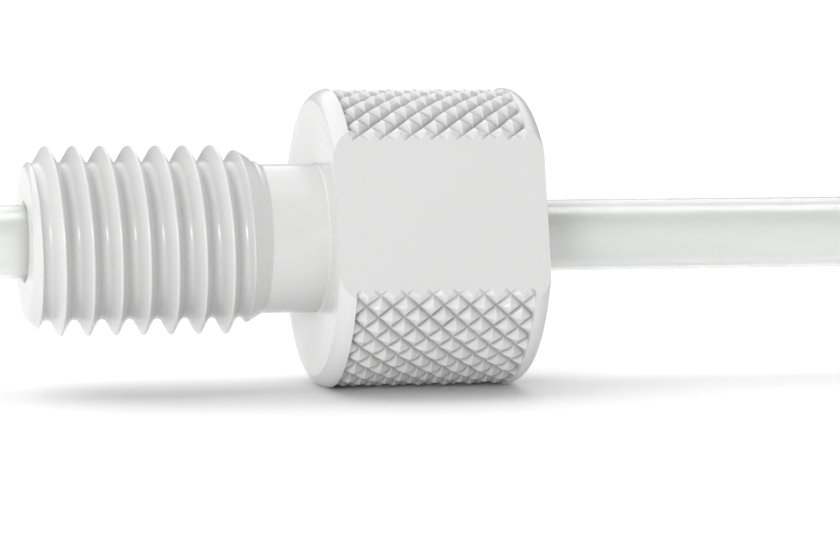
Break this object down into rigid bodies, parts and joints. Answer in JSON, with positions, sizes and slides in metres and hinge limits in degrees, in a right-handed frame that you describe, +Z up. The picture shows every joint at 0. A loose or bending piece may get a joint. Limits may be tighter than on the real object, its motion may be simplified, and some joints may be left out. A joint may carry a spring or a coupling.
{
  "type": "hplc fingertight fitting",
  "caption": "One-piece knurled finger-tight nut with a fine thread, a plain neck and finger flats, on a straight cut length of translucent tubing.",
  "frame": {"origin": "centre of the nose face, on the axis of thread, head and tubing", "axes": "+X along the axis from the nose towards the knurled head and the long end of the tubing, +Z up as the fitting lies on its head, -Y towards the finger flat that faces up and out"},
  "size_m": [0.038, 0.0094, 0.0098],
  "materials": {
    "nut": "white acetal, turned and knurled, soft gloss",
    "tube": "translucent fluoropolymer, milky"
  },
  "bodies": {
    "tube": {"tube": "tube"},
    "nut": {"nut": "nut"}
  },
  "joints": [
    {"name": "nut_spin", "type": "hinge", "parent": "tube", "child": "nut", "pos_m": [0, 0, 0], "axis": [1, 0, 0], "continuous": true}
  ]
}
